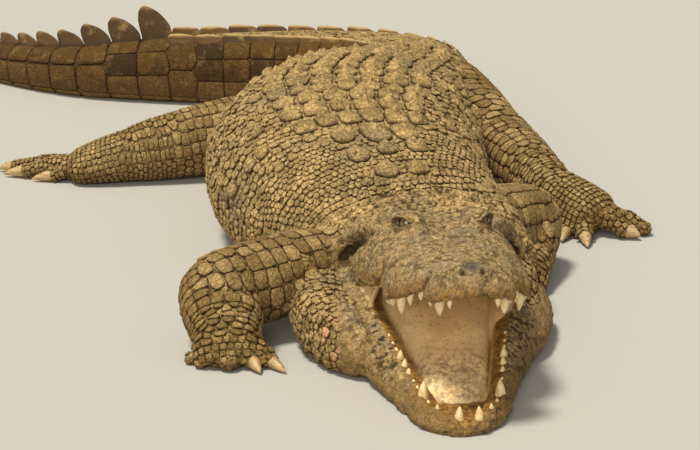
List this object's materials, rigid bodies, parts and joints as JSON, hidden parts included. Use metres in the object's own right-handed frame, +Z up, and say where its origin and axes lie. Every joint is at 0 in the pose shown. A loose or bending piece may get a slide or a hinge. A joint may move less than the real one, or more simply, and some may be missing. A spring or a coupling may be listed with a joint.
{
  "type": "crocodile",
  "caption": "Large adult marsh crocodile at rest on its belly, jaws open, legs spread and tail curved to its right; a still life-size model.",
  "frame": {"origin": "on the flat under the belly, at floor level", "axes": "+Z up; the head points to -Y and the animal's left side is +X"},
  "size_m": [1.4725, 2.5536, 0.2719],
  "materials": {
    "hide": "dusty grey-olive scaled hide with darker bands on the tail",
    "mouth": "moist cream to pinkish-tan lining of the mouth",
    "eye": "wet golden-brown eye with a slit pupil",
    "claw": "pale worn horn"
  },
  "bodies": {
    "root": {"neck": "hide", "trunk_front": "hide", "trunk_rear": "hide", "tail_1": "hide", "tail_2": "hide", "tail_3": "hide", "tail_4": "hide", "lower_jaw": "hide", "head": "hide", "upper_arm_right": "hide", "forearm_right": "hide", "hand_right": "hide", "upper_arm_left": "hide", "forearm_left": "hide", "hand_left": "hide", "thigh_right": "hide", "shank_right": "hide", "foot_right": "hide", "thigh_left": "hide", "shank_left": "hide", "foot_left": "hide", "tongue": "mouth", "eye_left": "eye", "eye_right": "eye", "claw_fore_left_1": "claw", "claw_fore_left_2": "claw", "claw_fore_left_3": "claw", "claw_fore_right_1": "claw", "claw_fore_right_2": "claw", "claw_hind_left_1": "claw", "claw_hind_left_2": "claw", "claw_hind_left_3": "claw", "claw_hind_right_1": "claw", "claw_hind_right_2": "claw", "claw_hind_right_3": "claw"}
  },
  "joints": []
}
